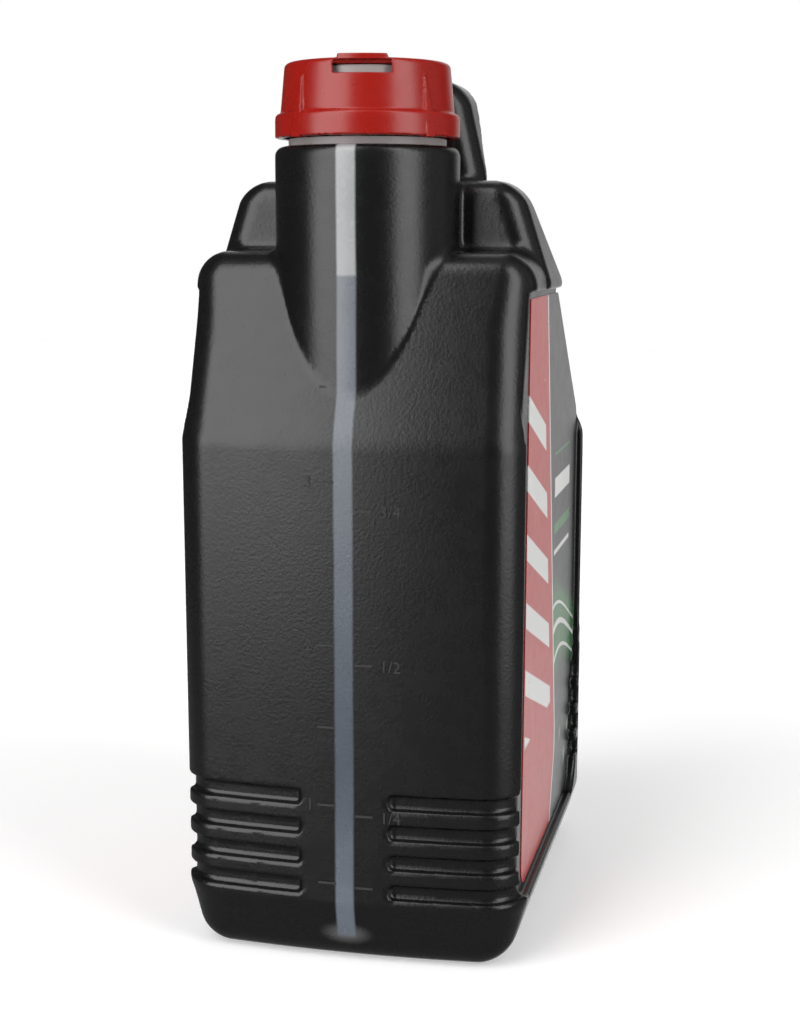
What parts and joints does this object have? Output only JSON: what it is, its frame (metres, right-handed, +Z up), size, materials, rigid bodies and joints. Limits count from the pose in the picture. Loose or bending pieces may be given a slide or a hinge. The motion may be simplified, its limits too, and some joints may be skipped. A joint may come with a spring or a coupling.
{
  "type": "motor oil jug",
  "caption": "Blown plastic oil jug with an integral handle, sunk label panels, grooved corners, a sight strip and a two-shell screw cap.",
  "frame": {"origin": "under the middle of the jug's bounding box, on the surface that it stands on", "axes": "+Z up; -X towards the neck end and its sight strip; -Y towards the front label"},
  "size_m": [0.172, 0.1212, 0.305],
  "materials": {
    "black_polyethylene": "satin, finely pebbled",
    "motor_oil": "clear liquid",
    "label_film": "printed film, satin",
    "natural_plastic": "milky, slightly see-through",
    "liner_foam": "fine foam",
    "red_plastic": "satin moulded plastic"
  },
  "bodies": {
    "jug": {"bottle": "black_polyethylene", "oil": "motor_oil", "front_label": "label_film", "back_label": "label_film", "tamper_band": "natural_plastic"},
    "seal": {"cap_liner": "liner_foam"},
    "closure": {"inner_cap": "natural_plastic"},
    "shell": {"cap_shell": "red_plastic"}
  },
  "joints": [
    {"name": "cap_rise", "type": "slide", "parent": "jug", "child": "seal", "axis": [0, 0, 1], "range_m": [0, 0.009]},
    {"name": "cap_unscrew", "type": "hinge", "parent": "seal", "child": "closure", "pos_m": [-0.05, 0, 0.285], "axis": [0, 0, 1], "range_deg": [0, 540]},
    {"name": "shell_slip", "type": "hinge", "parent": "closure", "child": "shell", "pos_m": [-0.05, 0, 0.285], "axis": [0, 0, 1], "continuous": true}
  ],
  "couplings": [
    {"joint": "cap_rise", "follows": "cap_unscrew", "m_per_rad": 0.0009549}
  ]
}
